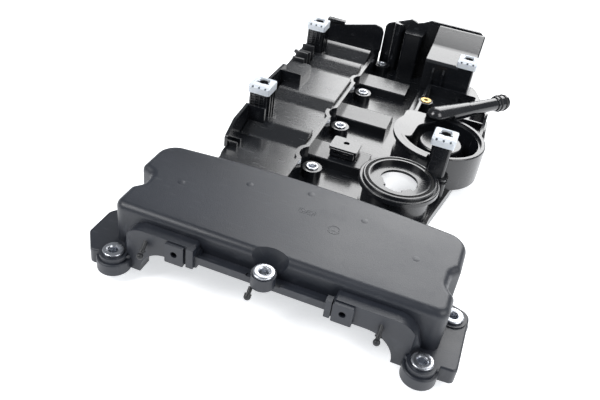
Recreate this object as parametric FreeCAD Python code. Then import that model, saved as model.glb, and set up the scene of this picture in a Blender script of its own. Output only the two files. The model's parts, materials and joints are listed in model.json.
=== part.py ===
"""Moulded cylinder head cover with a built-in oil separator, for a four-cylinder engine.

Frame: millimetres, +X across the engine, +Y along the crankshaft, +Z up.
Heights below are measured from the seat of the lower moulding. The finished parts are
moved down by FRONT_SEAT, so the origin is on the front left bolt axis, at its lug's seat.
"""
import FreeCAD, Part
import math
import os

V = FreeCAD.Vector

# Seat, walls and fits
SEAT_Z = 0.0                 # underside of the lower moulding's frame
FRONT_SEAT = 8.0             # underside of the front lugs and side flanges
WALL = 3.0
BORE_PITCH = 88.0            # cylinder spacing, and so the spacing of the centre sleeves
GAP = 0.3                    # air between parts that only lie side by side
RUNNING = 0.05               # radial clearance of a stem in its guide

# Front housing
LUG_SPAN = 239.0             # front left to front right bolt axis
HOUSING_TOP = 57.0
HOUSING_LEFT = -8.0
HOUSING_RIGHT = 247.0
HOUSING_FRONT = 13.0
HOUSING_BACK = 106.0
BULGE_LEFT = -15.0
TOP_ROUND = 6.0
SKIRT_FRONT = 3.0            # front face of the arched skirt
ARCH_TOP = 48.0
ARCH_UNDER = 31.0
ARCH_FOOT = 20.5             # distance of the arch's foot from each lug axis
ARCH_R = 22.0
RAIL_TOP = 41.5
RAIL_UNDER = 35.0
ARCH_LEFT = 4.0
ARCH_RIGHT = LUG_SPAN - ARCH_LEFT
RAIL_LEFT = 65.0
RAIL_RIGHT = 171.0
LUG_TOP = 22.0
LUG_R = 12.8
MID_LUG = (119.0, 3.0)
MID_LUG_UNDER = 39.0
MID_LUG_TOP = 49.0
MID_LUG_R = 9.0
POCKET_R = 13.0              # pocket around the middle lug, at its foot
POCKET_TOP_R = 19.0          # and at the chamber's top
FLANGE_OUT_LEFT = 30.0       # reach of the side flanges beyond the lug axes
FLANGE_OUT_RIGHT = 24.0
FLANGE_BACK = 62.0
SIDE_LUG_Y = 52.0
SIDE_LUG_X = 12.0            # distance of the side bolts outside the lug axes
PEG_R = 1.6
PEG_DIRECTION = V(0, -0.75, -0.66)

# Bolt sleeves
SLEEVE_R = 5.5
SLEEVE_BORE_R = 3.3
SLEEVE_FLANGE_R = 8.0
SLEEVE_FLANGE_T = 2.0
CENTRE_SLEEVE_X = 92.5
CENTRE_SLEEVE_Y = 189.0
CENTRE_SLEEVE_TOP = 20.5
CENTRE_SLEEVE_R = 4.4
CENTRE_FLANGE_R = 6.0
CENTRE_BORE_R = 3.1
POST_R = 9.5

# Lower moulding
BASE_FRONT = 92.0
BASE_BACK = 478.0
BASE_DECK = 10.0             # top of the deck between the walls
BASE_DECK_UNDER = 7.0
BASE_UNDER_HOUSING = 16.0
FRAME_W = 12.0               # width of the seating frame
BAY_LEFT = 84.0
BAY_RIGHT = 138.0
BEAM_TOP = 19.0
BEAM_START = 19.0            # beam starts this far behind its sleeve
BEAM_LENGTH = 36.0

# Left shell
TRAY_LEFT = 8.0
TRAY_RIGHT = 84.0
TRAY_FRONT = 119.0
TRAY_BACK = 470.0
TRAY_TOP = 30.0
TRAY_WALL_TOP = 54.0
RELIEF_R = 13.5              # relief of the shell around each centre sleeve

# Snap sockets
CLIP_UNDER = 62.0
CLIP_H = 8.0
CLIP_W = 22.0
CLIP_D = 22.0
CLIPS = {
    "front_left": (21.0, 228.0),
    "rear_left": (15.5, 411.0),
    "front_right": (202.5, 227.0),
    "rear_right": (196.0, 411.0),
}

# Filler neck
NECK = (175.7, 184.0)
NECK_TOP = 40.0
NECK_FLANGE_R = 36.8
NECK_RING_R = 33.5
NECK_SKIRT_R = 31.0
NECK_RECESS_R = 27.0
NECK_RECESS = 4.5            # depth of the recess around the mouth
NECK_BORE_R = 17.4
NECK_SEAL_R = 30.0

# Separator bowl and pressure regulator
BOWL = (197.5, 269.0)
BOWL_R = 43.0
BOWL_WALL = 6.5
BOWL_TOP = 45.0
BOWL_FLOOR = 17.0
REG_SEAT_R = 9.0
REG_SEAT_TOP = 23.0
REG_PLATE_R = 11.5
REG_CLAMP_Z = 27.0           # height of the diaphragm's clamped edge
REG_CAP_R = 21.5
REG_CAP_TOP = 38.0

# Drain and bypass valves
DRAIN = (48.0, 330.0)
DRAIN_TRAVEL = 1.6
BYPASS = (48.0, 250.0)
BYPASS_PORT_R = 6.0

# Outlet spigot: from the bowl towards the rear right
SPIGOT_START = V(184.0, 299.0, 48.0)
SPIGOT_END = V(247.0, 375.0, 48.0)
SPIGOT_R = 7.0
SPIGOT_BORE_R = 5.0

SPIGOT_HEAD_R = 8.2
RING_OFFSETS = (6.0, 13.0)   # ring grooves, measured back from the spigot's end

# Rear duct
DUCT_LEFT = 150.0
DUCT_RIGHT = 205.0
DUCT_FRONT = 400.0
DUCT_BACK = 474.0
DUCT_TOP_FRONT = 62.0
DUCT_TOP_BACK = 80.0

# Saddles across the tray: start of the ramp, crest height, crest length
HUMPS = [
    (184.0, 38.0, 8.0),
    (262.0, 37.0, 60.0),
    (356.0, 38.0, 8.0),
    (398.0, 40.0, 6.0),
    (434.0, 44.0, 3.0),
]
PANEL_Y = 210.0              # cross panel in front of the front left tower

# Small parts
INSERT = (166.0, 352.0)
INSERT_TOP = 36.0
INSERT_R = 4.0
RIGHT_DECK = 26.0
CHAMBER_TOP = 37.0
LABYRINTH_TOP = 25.0
BAFFLE_Z = 3.0               # upper face of the splash baffle
SCREW_R = 1.5
BYPASS_CAGE_TOP = 22.0


def box(x0, y0, z0, x1, y1, z1):
    """A box between two corners."""
    return Part.makeBox(x1 - x0, y1 - y0, z1 - z0, V(x0, y0, z0))


def rod(x, y, z0, z1, r):
    """An upright cylinder."""
    return Part.makeCylinder(r, z1 - z0, V(x, y, z0))


def pipe(x, y, z0, z1, r_out, r_in):
    """An upright tube."""
    return rod(x, y, z0, z1, r_out).cut(rod(x, y, z0 - 1, z1 + 1, r_in))


def fuse(shapes):
    """All shapes joined into one, with seams between flush faces removed."""
    first = shapes[0]
    rest = shapes[1:]
    return first.fuse(rest).removeSplitter() if rest else first


def rounded_wire(points, place):
    """A closed outline through (a, b, radius) corners; place turns (a, b) into a point."""
    ends = []
    count = len(points)
    for i in range(count):
        a, b, r = points[i]
        corner = V(a, b, 0)
        if r <= 0:
            ends.append((corner, None, corner))
            continue
        before = V(points[i - 1][0], points[i - 1][1], 0) - corner
        after = V(points[(i + 1) % count][0], points[(i + 1) % count][1], 0) - corner
        before.normalize()
        after.normalize()
        half = before.getAngle(after) / 2
        reach = r / math.tan(half)
        centre_dir = before + after
        centre_dir.normalize()
        centre = corner + centre_dir * (r / math.sin(half))
        middle = centre - centre_dir * r
        ends.append((corner + before * reach, middle, corner + after * reach))
    edges = []
    for i in range(count):
        start, middle, end = ends[i]
        if middle is not None:
            arc = Part.Arc(place(start.x, start.y), place(middle.x, middle.y), place(end.x, end.y))
            edges.append(arc.toShape())
        following = ends[(i + 1) % count][0]
        if (following - end).Length > 1e-6:
            edges.append(Part.makeLine(place(end.x, end.y), place(following.x, following.y)))
    return Part.Wire(edges)


def plate(points, z0, z1):
    """A flat plate with a plan outline of (x, y, radius) corners."""
    wire = rounded_wire(points, lambda a, b: V(a, b, z0))
    return Part.Face(wire).extrude(V(0, 0, z1 - z0))


def front_slab(points, y0, y1):
    """A slab with a front-view outline of (x, z, radius) corners."""
    wire = rounded_wire(points, lambda a, b: V(a, y0, b))
    return Part.Face(wire).extrude(V(0, y1 - y0, 0))


def side_slab(points, x0, x1):
    """A slab with a side-view outline of (y, z, radius) corners."""
    wire = rounded_wire(points, lambda a, b: V(x0, a, b))
    return Part.Face(wire).extrude(V(x1 - x0, 0, 0))


def edges_at(shape, z):
    """Edges that lie wholly at one height."""
    found = []
    for edge in shape.Edges:
        span = edge.BoundBox
        if abs(span.ZMin - z) < 1e-3 and abs(span.ZMax - z) < 1e-3:
            found.append(edge)
    return found


def round_top(shape, z, radius):
    """Rounds every edge at the given height."""
    return shape.makeFillet(radius, edges_at(shape, z))


def inset_plate(points, inset, z0, z1):
    """The plate of an outline moved inwards by a wall thickness."""
    face = Part.Face(rounded_wire(points, lambda a, b: V(a, b, z0)))
    inner = face.makeOffset2D(-inset)
    return inner.extrude(V(0, 0, z1 - z0))


def mirrored(x):
    """The matching X on the other side of the front housing's middle."""
    return LUG_SPAN - x


# ---------------------------------------------------------------- front housing

def chamber_outline():
    """Plan outline of the front chamber, with a dent beside each side bolt."""
    return [
        (HOUSING_LEFT, HOUSING_FRONT, 9),
        (HOUSING_RIGHT, HOUSING_FRONT, 9),
        (HOUSING_RIGHT, SIDE_LUG_Y - 16, 5),
        (HOUSING_RIGHT - 6, SIDE_LUG_Y - 8, 7),
        (HOUSING_RIGHT - 6, SIDE_LUG_Y + 6, 7),
        (HOUSING_RIGHT, SIDE_LUG_Y + 14, 5),
        (HOUSING_RIGHT, HOUSING_BACK - 2, 17),
        (MID_LUG[0], HOUSING_BACK + 11, 900),
        (BULGE_LEFT, HOUSING_BACK, 18),
        (BULGE_LEFT, SIDE_LUG_Y + 14, 6),
        (HOUSING_LEFT + 6, SIDE_LUG_Y + 8, 6),
        (HOUSING_LEFT + 6, SIDE_LUG_Y - 6, 6),
        (HOUSING_LEFT, SIDE_LUG_Y - 13, 5),
    ]


def skirt_profile():
    """Front view of the arched skirt between the two front lugs."""
    return [
        (ARCH_LEFT, FRONT_SEAT, 0),
        (ARCH_LEFT, LUG_TOP + 2, 3),
        (ARCH_LEFT + 7, ARCH_TOP, 17),
        (RAIL_LEFT, ARCH_TOP, 2),
        (RAIL_LEFT, RAIL_TOP, 1),
        (RAIL_RIGHT, RAIL_TOP, 1),
        (RAIL_RIGHT, ARCH_TOP, 2),
        (ARCH_RIGHT - 7, ARCH_TOP, 17),
        (ARCH_RIGHT, LUG_TOP + 2, 3),
        (ARCH_RIGHT, FRONT_SEAT, 0),
        (mirrored(ARCH_FOOT), FRONT_SEAT, 0),
        (mirrored(ARCH_FOOT), ARCH_UNDER, ARCH_R),
        (RAIL_RIGHT - 3, ARCH_UNDER, 2),
        (RAIL_RIGHT - 3, RAIL_UNDER, 2),
        (RAIL_LEFT + 3, RAIL_UNDER, 2),
        (RAIL_LEFT + 3, ARCH_UNDER, 2),
        (ARCH_FOOT, ARCH_UNDER, ARCH_R),
        (ARCH_FOOT, FRONT_SEAT, 0),
    ]


def under_arch():
    """The space below the skirt, through the front wall."""
    profile = [
        (ARCH_FOOT, SEAT_Z - 5, 0),
        (ARCH_FOOT, ARCH_UNDER, ARCH_R),
        (RAIL_LEFT + 3, ARCH_UNDER, 2),
        (RAIL_LEFT + 3, RAIL_UNDER, 2),
        (RAIL_RIGHT - 3, RAIL_UNDER, 2),
        (RAIL_RIGHT - 3, ARCH_UNDER, 2),
        (mirrored(ARCH_FOOT), ARCH_UNDER, ARCH_R),
        (mirrored(ARCH_FOOT), SEAT_Z - 5, 0),
    ]
    return front_slab(profile, SKIRT_FRONT - 20, HOUSING_FRONT + WALL + 1)


def side_flange(right):
    """Flange beside the chamber that carries a side bolt."""
    inner = HOUSING_LEFT + 2
    if right:
        points = [
            (mirrored(inner), 2, 0),
            (mirrored(inner), FLANGE_BACK + 6, 0),
            (LUG_SPAN + FLANGE_OUT_RIGHT, FLANGE_BACK, 9),
            (LUG_SPAN + FLANGE_OUT_RIGHT, 3, 4),
        ]
    else:
        points = [
            (inner, -3, 0),
            (-17, -5, 5),
            (-FLANGE_OUT_LEFT, 13, 5),
            (-FLANGE_OUT_LEFT, FLANGE_BACK - 22, 6),
            (-16, FLANGE_BACK - 2, 6),
            (inner, FLANGE_BACK + 6, 0),
        ]
    solid = plate(points, FRONT_SEAT, LUG_TOP - 1)
    return round_top(solid, LUG_TOP - 1, 1.5)


def lug(x, y, top):
    """Bolt lug with a wider foot."""
    foot = rod(x, y, FRONT_SEAT, top - 4, LUG_R)
    foot = round_top(foot, top - 4, 1.5)
    return foot.fuse(rod(x, y, top - 5, top, LUG_R - 2.3))


def bolt_places():
    """Axis and seat height of each front sleeve: x, y, under, top."""
    return [
        (0.0, 0.0, FRONT_SEAT, LUG_TOP),
        (LUG_SPAN, 0.0, FRONT_SEAT, LUG_TOP),
        (MID_LUG[0], MID_LUG[1], MID_LUG_UNDER, MID_LUG_TOP),
        (-SIDE_LUG_X, SIDE_LUG_Y, FRONT_SEAT, LUG_TOP),
        (mirrored(-SIDE_LUG_X), SIDE_LUG_Y, FRONT_SEAT, LUG_TOP),
    ]


def lug_bridges():
    """Webs that tie the front lugs to the chamber wall."""
    left = [(-12, 0, 2), (12, -2, 6), (13, 17, 0), (-14, 17, 0)]
    right = [(mirrored(x), y, r) for x, y, r in reversed(left)]
    return [plate(left, FRONT_SEAT, LUG_TOP - 1), plate(right, FRONT_SEAT, LUG_TOP - 1)]


def square_tab(x0):
    """Square bracket tab on the skirt, with a round hole."""
    tab = front_slab([(x0, 30, 1), (x0 + 15, 30, 1), (x0 + 15, ARCH_TOP - 1, 1), (x0, ARCH_TOP - 1, 1)], 0, 4)
    hole = Part.makeCylinder(2.6, 12, V(x0 + 7.5, -4, 39), V(0, 1, 0))
    return tab, hole


def front_housing():
    """Matte chamber over the timing end, with lugs, skirt, rail and tabs in one moulding."""
    outline = chamber_outline()
    outer = round_top(plate(outline, FRONT_SEAT, HOUSING_TOP), HOUSING_TOP, TOP_ROUND)
    cavity = inset_plate(outline, WALL, FRONT_SEAT - 1, HOUSING_TOP - WALL)
    under_pocket = pocket_cone(WALL)
    skirt = front_slab(skirt_profile(), SKIRT_FRONT, HOUSING_FRONT + WALL)
    groove = box(RAIL_LEFT + 2, SKIRT_FRONT + 3, RAIL_TOP - 3, RAIL_RIGHT - 2, HOUSING_FRONT, RAIL_TOP + 5)
    skirt = skirt.cut(groove)
    shell = outer.cut(cavity)
    pocket_wall = under_pocket.common(outer)
    boss = rod(MID_LUG[0], MID_LUG[1], MID_LUG_UNDER, MID_LUG_TOP, MID_LUG_R)
    pieces = [shell, pocket_wall, skirt, side_flange(False), side_flange(True)]
    pieces += lug_bridges()
    for x, y, under, top in bolt_places():
        if under == FRONT_SEAT:
            pieces.append(lug(x, y, top))
    body = fuse(pieces).cut(under_arch())
    body = body.cut(pocket_cone(0.0))
    blocks = []
    holes = []
    for x0 in (43.0, 171.5):
        tab, hole = square_tab(x0)
        blocks.append(tab)
        holes.append(hole)
    blocks.append(box(60, 0.5, 31, 65.5, SKIRT_FRONT + 3, ARCH_TOP))
    blocks.append(box(166, 0.5, 31, 170.5, SKIRT_FRONT + 3, ARCH_TOP - 1))
    body = fuse([body, boss] + blocks)
    for x, y, under, top in bolt_places():
        holes.append(rod(x, y, under - 2, top + 12, SLEEVE_R))
        holes.append(rod(x, y, top, HOUSING_TOP + 5, SLEEVE_FLANGE_R + 2.2))
    for place, length, root in peg_places():
        holes.append(Part.makeCylinder(PEG_R, root, place, PEG_DIRECTION * -1))
        holes.append(Part.makeCylinder(PEG_R, length, place, PEG_DIRECTION))
    body = body.cut(holes)
    rear = box(-30, BASE_FRONT - GAP, SEAT_Z - 1, 280, 140, BASE_UNDER_HOUSING)
    return body.cut(rear)


def pocket_cone(grow):
    """Flared pocket around the middle lug, grown by a wall thickness."""
    low = RAIL_TOP - 1
    high = HOUSING_TOP + 1
    start = V(MID_LUG[0], MID_LUG[1], low - grow)
    return Part.makeCone(POCKET_R + grow, POCKET_TOP_R + grow, high - low + grow, start)


def front_sleeves():
    """Five flanged steel sleeves that take the bolt load through the housing."""
    solids = []
    for x, y, under, top in bolt_places():
        tube = rod(x, y, under, top, SLEEVE_R)
        head = rod(x, y, top, top + SLEEVE_FLANGE_T, SLEEVE_FLANGE_R)
        head = round_top(head, top + SLEEVE_FLANGE_T, 0.5)
        solids.append(tube.fuse(head).cut(rod(x, y, under - 1, top + 5, SLEEVE_BORE_R)))
    return Part.makeCompound(solids)


def peg_places():
    """Start, free length and pressed-in length of the small pegs on the skirt and middle lug."""
    return [
        (V(26.0, SKIRT_FRONT, 39.0), 11.0, 5.0),
        (V(112.5, -3.5, 36.0), 5.5, 2.0),
        (V(206.5, SKIRT_FRONT, 38.0), 11.0, 5.0),
    ]


def retaining_pegs():
    """Small ball-ended pegs that point forwards and down."""
    solids = []
    for place, length, root in peg_places():
        shank = Part.makeCylinder(PEG_R, root, place, PEG_DIRECTION * -1)
        neck = Part.makeCylinder(PEG_R, length, place, PEG_DIRECTION)
        middle = place + PEG_DIRECTION * (length * 0.55)
        collar = Part.makeCylinder(PEG_R + 1, 1.4, middle, PEG_DIRECTION)
        ball = Part.makeSphere(PEG_R + 1, place + PEG_DIRECTION * length)
        solids.append(fuse([shank, neck, collar, ball]))
    return Part.makeCompound(solids)


# ---------------------------------------------------------------- lower moulding

def base_outline():
    """Plan outline of the lower moulding."""
    return [
        (4, BASE_FRONT, 6),
        (206, BASE_FRONT, 6),
        (211, 178, 60),
        (221, 236, 8),
        (224, 258, 12),
        (236, 276, 20),
        (239, 300, 30),
        (239, 364, 14),
        (224, 378, 10),
        (224, 440, 20),
        (208, BASE_BACK, 16),
        (4, BASE_BACK, 16),
    ]


def sleeve_rows():
    """Y of each centre sleeve."""
    return [CENTRE_SLEEVE_Y + BORE_PITCH * i for i in range(4)]


def bay_beam(y):
    """Hollow cross beam behind a centre sleeve, with a sloping top."""
    back = y + BEAM_LENGTH
    outer = [(y, BASE_DECK - 1, 0), (y, BEAM_TOP, 1.5), (back - 8, BEAM_TOP + 3, 4), (back, BASE_DECK - 1, 0)]
    inner = [(y + 3, BASE_DECK_UNDER - 1, 0), (y + 3, BEAM_TOP - 3, 1), (back - 9, BEAM_TOP, 2),
             (back - 4, BASE_DECK_UNDER - 1, 0)]
    return side_slab(outer, BAY_LEFT, BAY_RIGHT), side_slab(inner, BAY_LEFT + 3, BAY_RIGHT - 3)


def underside_ribs():
    """Stiffening ribs under the deck."""
    ribs = []
    for i in range(5):
        y = 140.0 + 72.0 * i
        ribs.append(box(12, y, 3, 200, y + 2, BASE_DECK_UNDER + 0.5))
    for x in (68.0, 156.0):
        ribs.append(box(x, 110, 3, x + 2, 470, BASE_DECK_UNDER + 0.5))
    return ribs


def gasket_ring(inset, width, z0, z1):
    """A closed bead that follows the lower moulding's outline."""
    outer = inset_plate(base_outline(), inset, z0, z1)
    inner = inset_plate(base_outline(), inset + width, z0 - 1, z1 + 1)
    return outer.cut(inner)


def cover_base():
    """Lower moulding: seating frame, deck, centre bays, sleeve posts and underside ribs."""
    outline = base_outline()
    block = plate(outline, SEAT_Z, BASE_DECK)
    hollow = inset_plate(outline, FRAME_W, SEAT_Z - 1, BASE_DECK_UNDER)
    step_front = BASE_FRONT + 1.5
    step = plate([(8, step_front, 4), (204, step_front, 4), (204, TRAY_FRONT - 2, 0), (8, TRAY_FRONT - 2, 0)],
                 BASE_DECK - 1, BASE_UNDER_HOUSING)
    step_hollow = box(12, BASE_FRONT + 6, SEAT_Z - 1, 198, TRAY_FRONT - 5, BASE_UNDER_HOUSING - WALL)
    body = block.cut(hollow)
    ribs = underside_ribs()
    cuts = [step_hollow]
    adds = [step]
    for y in sleeve_rows():
        adds.append(rod(CENTRE_SLEEVE_X, y, SEAT_Z, CENTRE_SLEEVE_TOP - 1.5, POST_R))
        outer, inner = bay_beam(y + BEAM_START)
        if y + BEAM_START + BEAM_LENGTH < BASE_BACK:
            adds.append(outer)
            cuts.append(inner)
        cuts.append(rod(CENTRE_SLEEVE_X, y, -2, CENTRE_SLEEVE_TOP + 5, CENTRE_SLEEVE_R))
    drain_hole = rod(DRAIN[0], DRAIN[1], -1, BASE_DECK + 5, 2.0 + RUNNING)
    neck_hole = rod(NECK[0], NECK[1], -1, BASE_DECK + 5, NECK_SKIRT_R - WALL)
    oil_way = plate([(150, 176, 5), (192, 176, 5), (192, 248, 5), (150, 248, 5)], SEAT_Z - 1, BASE_DECK + 1)
    groove = gasket_ring(4.0, 4.2, SEAT_Z - 1, 3.2)
    insert_hole = rod(INSERT[0], INSERT[1], BASE_DECK - 1, INSERT_TOP + 2, INSERT_R)
    adds.append(rod(INSERT[0], INSERT[1], BASE_DECK - 1, INSERT_TOP, 8))
    body = fuse([body] + adds + ribs + baffle_bosses())
    posts = [rod(CENTRE_SLEEVE_X, y, SEAT_Z, BASE_DECK, POST_R) for y in sleeve_rows()]
    body = body.cut([c.cut(posts) if c is step_hollow else c for c in cuts])
    bypass_hole = rod(BYPASS[0], BYPASS[1], -1, BASE_DECK + 1, BYPASS_PORT_R)
    screw_holes = [rod(x, y, 0, BASE_DECK_UNDER + 0.5, SCREW_R) for x, y in baffle_screw_places()]
    return body.cut([drain_hole, neck_hole, oil_way, groove, insert_hole, bypass_hole] + screw_holes + drain_holes())


def perimeter_gasket():
    """Elastomer seal in the groove of the seating frame."""
    return gasket_ring(4.3, 3.6, SEAT_Z, 3.0)


def centre_sleeves():
    """Four flanged steel sleeves along the middle of the cover."""
    solids = []
    for y in sleeve_rows():
        tube = rod(CENTRE_SLEEVE_X, y, SEAT_Z, CENTRE_SLEEVE_TOP - 1.5, CENTRE_SLEEVE_R)
        head = rod(CENTRE_SLEEVE_X, y, CENTRE_SLEEVE_TOP - 1.5, CENTRE_SLEEVE_TOP, CENTRE_FLANGE_R)
        head = round_top(head, CENTRE_SLEEVE_TOP, 0.4)
        solids.append(tube.fuse(head).cut(rod(CENTRE_SLEEVE_X, y, -1, CENTRE_SLEEVE_TOP + 2, CENTRE_BORE_R)))
    return Part.makeCompound(solids)


# ---------------------------------------------------------------- left shell

def tray_outline():
    """Plan outline of the left shell."""
    return [
        (TRAY_LEFT + 6, TRAY_FRONT, 42),
        (TRAY_RIGHT, TRAY_FRONT, 4),
        (TRAY_RIGHT, TRAY_BACK, 6),
        (TRAY_LEFT - 4, TRAY_BACK, 12),
        (TRAY_LEFT - 4, 240, 60),
        (TRAY_LEFT + 6, 200, 60),
    ]


def hump(start, top, crest_length):
    """Saddle across the tray: a ramp from the front, a crest, and a sharp step behind."""
    crest = start + 30
    end = crest + crest_length
    profile = [
        (start, TRAY_TOP - 2, 0),
        (start, TRAY_TOP - 0.2, 0),
        (start + 10, TRAY_TOP, 18),
        (crest, top, 16),
        (end, top + 1, 1.2),
        (end + 1.5, TRAY_TOP - 2, 0),
    ]
    return side_slab(profile, TRAY_LEFT + 8, TRAY_RIGHT - 5)


def tower(x0, y0, width, depth, under, ribs_on_right):
    """Snap socket tower with vertical ribs on its sides."""
    core = plate([(x0, y0, 2), (x0 + width, y0, 2), (x0 + width, y0 + depth, 2), (x0, y0 + depth, 2)],
                 under, CLIP_UNDER)
    ribs = []
    for i in range(3):
        y = y0 + 4 + i * (depth - 10) / 2
        x = x0 + width - 0.5 if ribs_on_right else x0 - 1.7
        ribs.append(box(x, y, under, x + 2.2, y + 2, CLIP_UNDER - 1))
    foot = plate([(x0 - 2, y0 - 2, 4), (x0 + width + 3, y0 - 2, 4), (x0 + width + 3, y0 + depth + 3, 4),
                  (x0 - 2, y0 + depth + 3, 4)], under, under + 4)
    return fuse([core, foot] + ribs)


def edge_wall(points_yz, x):
    """Upright wall along the left side, drawn as a side view."""
    return side_slab(points_yz, x, x + WALL)


def left_shell():
    """Left upper shell: humped tray, side wall, cross panels and two socket towers."""
    outline = tray_outline()
    reliefs = [rod(CENTRE_SLEEVE_X, y, 0, 80, RELIEF_R) for y in sleeve_rows()]
    relief_walls = [rod(CENTRE_SLEEVE_X, y, BASE_DECK, TRAY_TOP, RELIEF_R + WALL) for y in sleeve_rows()]
    outer = plate(outline, BASE_DECK, TRAY_TOP)
    cavity = inset_plate(outline, WALL, BASE_DECK - 1, TRAY_TOP - WALL).cut(relief_walls)
    comb_room = box(TRAY_LEFT, 346.5, TRAY_TOP, TRAY_LEFT + 14.5, 386.5, TRAY_WALL_TOP)
    adds = [hump(*h).cut(comb_room) for h in HUMPS]
    lip_outer = plate(outline, TRAY_TOP - 1, TRAY_TOP + 3)
    lip_inner = inset_plate(outline, 4, TRAY_TOP - 2, TRAY_TOP + 4)
    lip_side = box(TRAY_RIGHT - 20, TRAY_FRONT - 5, TRAY_TOP - 2, TRAY_RIGHT + 5, TRAY_BACK + 5, TRAY_TOP + 6)
    lip_ring = lip_outer.cut(lip_inner).common(lip_side)
    curb = []
    for y in sleeve_rows():
        arc = pipe(CENTRE_SLEEVE_X, y, TRAY_TOP - 1, TRAY_TOP + 3, RELIEF_R + 4, RELIEF_R)
        curb.append(arc.common(outer_slice(outline)))
    wall_front = edge_wall([(164, TRAY_TOP - 1, 0), (PANEL_Y + 3, TRAY_TOP - 1, 0),
                            (PANEL_Y + 3, TRAY_WALL_TOP - 1, 2), (182, TRAY_WALL_TOP - 4, 8),
                            (164, TRAY_TOP + 10, 3)], TRAY_LEFT + 4)
    corner_fins = [box(TRAY_LEFT + 6.5, y, TRAY_TOP - 1, TRAY_LEFT + 16, y + 1.8, TRAY_TOP + 5) for y in (166, 174)]
    hook = box(13, TRAY_BACK - 2.2, TRAY_TOP + 8, 33, TRAY_BACK + 1, TRAY_TOP + 24)
    hook = hook.fuse(box(11, TRAY_BACK - 6, TRAY_TOP + 23, 34, TRAY_BACK + 1, TRAY_TOP + 26))
    panel = box(TRAY_LEFT + 4, PANEL_Y, TRAY_TOP - 1, 32, PANEL_Y + WALL, TRAY_WALL_TOP - 2)
    wall_mid = edge_wall([(236, TRAY_TOP - 1, 0), (322, TRAY_TOP - 1, 0), (322, TRAY_WALL_TOP - 4, 4),
                          (236, TRAY_WALL_TOP - 2, 4)], TRAY_LEFT)
    panel_mid = box(TRAY_LEFT, 306, TRAY_TOP - 1, 34, 306 + WALL, TRAY_WALL_TOP - 5)
    duct_box = plate([(TRAY_LEFT, 306, 2), (34, 306, 2), (34, 346, 6), (TRAY_LEFT, 346, 2)],
                     TRAY_TOP - 1, TRAY_WALL_TOP - 10)
    wall_rear = edge_wall([(346, TRAY_TOP - 1, 0), (TRAY_BACK - 4, TRAY_TOP - 1, 0),
                           (TRAY_BACK - 4, TRAY_TOP + 14, 3), (346, TRAY_TOP + 10, 3)], TRAY_LEFT - 3)
    back_wall = front_slab([(TRAY_LEFT - 3, TRAY_TOP - 1, 0), (TRAY_LEFT - 3, TRAY_TOP + 14, 3),
                            (TRAY_RIGHT, TRAY_TOP + 34, 10), (TRAY_RIGHT, TRAY_TOP - 1, 0)],
                           TRAY_BACK - 4, TRAY_BACK - 0.5)
    towers = [
        tower(CLIPS["front_left"][0] - 9.5, CLIPS["front_left"][1] - 11, 19, 23, TRAY_TOP - 1, True),
        tower(CLIPS["rear_left"][0] - 9.5, CLIPS["rear_left"][1] - 11, 19, 25, TRAY_TOP - 1, True),
    ]
    adds += [lip_ring, wall_front, panel, wall_mid, panel_mid, duct_box, wall_rear, back_wall, hook]
    adds += towers + curb + corner_fins
    body = fuse([outer.cut(cavity)] + adds)
    nozzle_hole = Part.makeCylinder(1.8, 12, V(TRAY_LEFT - 12, 388, TRAY_TOP + 6), V(1, 0, 0))
    return body.cut(reliefs + [nozzle_hole])


def outer_slice(outline):
    """The tray's plan area as a thick block, to trim the curbs."""
    return plate(outline, TRAY_TOP - 2, TRAY_TOP + 5)


def harness_comb():
    """Comb of upright fingers on the left edge that guides a wiring loom."""
    back = box(TRAY_LEFT + 0.2, 347, TRAY_TOP, TRAY_LEFT + 3.2, 386, TRAY_TOP + 13)
    floor = box(TRAY_LEFT + 0.2, 347, TRAY_TOP, TRAY_LEFT + 14, 386, TRAY_TOP + 3)
    fingers = []
    for i in range(4):
        y = 348 + i * 11.0
        fingers.append(box(TRAY_LEFT + 0.2, y, TRAY_TOP, TRAY_LEFT + 14, y + 3, TRAY_TOP + 17 + (i % 2) * 3))
    return fuse([back, floor] + fingers)


def vent_nozzle():
    """Small hose nozzle on the left side near the rear tower."""
    axis = V(1, 0, 0)
    stem = Part.makeCylinder(1.8, 11, V(TRAY_LEFT - 11, 388, TRAY_TOP + 6), axis)
    barb = Part.makeCone(1.9, 2.7, 3, V(TRAY_LEFT - 11, 388, TRAY_TOP + 6), axis)
    collar = Part.makeCylinder(3.4, 1.5, V(TRAY_LEFT - 4.5, 388, TRAY_TOP + 6), axis)
    bore = Part.makeCylinder(1.0, 40, V(TRAY_LEFT - 20, 388, TRAY_TOP + 6), axis)
    return fuse([stem, barb, collar]).cut(bore)


# ---------------------------------------------------------------- snap sockets

def snap_socket(x, y):
    """White snap socket: a frame with a tapered mouth, side rails and three front holes."""
    half = CLIP_W / 2
    front = y - CLIP_D / 2
    back = y + CLIP_D / 2
    body = plate([(x - half, front, 2), (x + half, front, 2), (x + half, back, 2), (x - half, back, 2)],
                 CLIP_UNDER, CLIP_UNDER + CLIP_H)
    body = round_top(body, CLIP_UNDER + CLIP_H, 1.0)
    mouth = plate([(x - 7, front + 9, 1), (x + 7, front + 9, 1), (x + 4.5, back - 3, 1), (x - 4.5, back - 3, 1)],
                  CLIP_UNDER + 2, CLIP_UNDER + CLIP_H + 2)
    seat = rod(x, front + 13.5, CLIP_UNDER + 2, CLIP_UNDER + CLIP_H + 2, 5.2)
    slope = side_slab([(front - 2, CLIP_UNDER + 5, 0), (front + 5, CLIP_UNDER + CLIP_H + 1, 0),
                       (front - 2, CLIP_UNDER + CLIP_H + 1, 0)], x - half - 1, x + half + 1)
    holes = []
    for i in (-1, 0, 1):
        holes.append(Part.makeCylinder(1.1, 8, V(x + i * 6.5, front - 1, CLIP_UNDER + 6.5), V(0, 1, -0.15)))
    return body.cut([mouth, seat, slope] + holes)


# ---------------------------------------------------------------- filler neck

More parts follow.
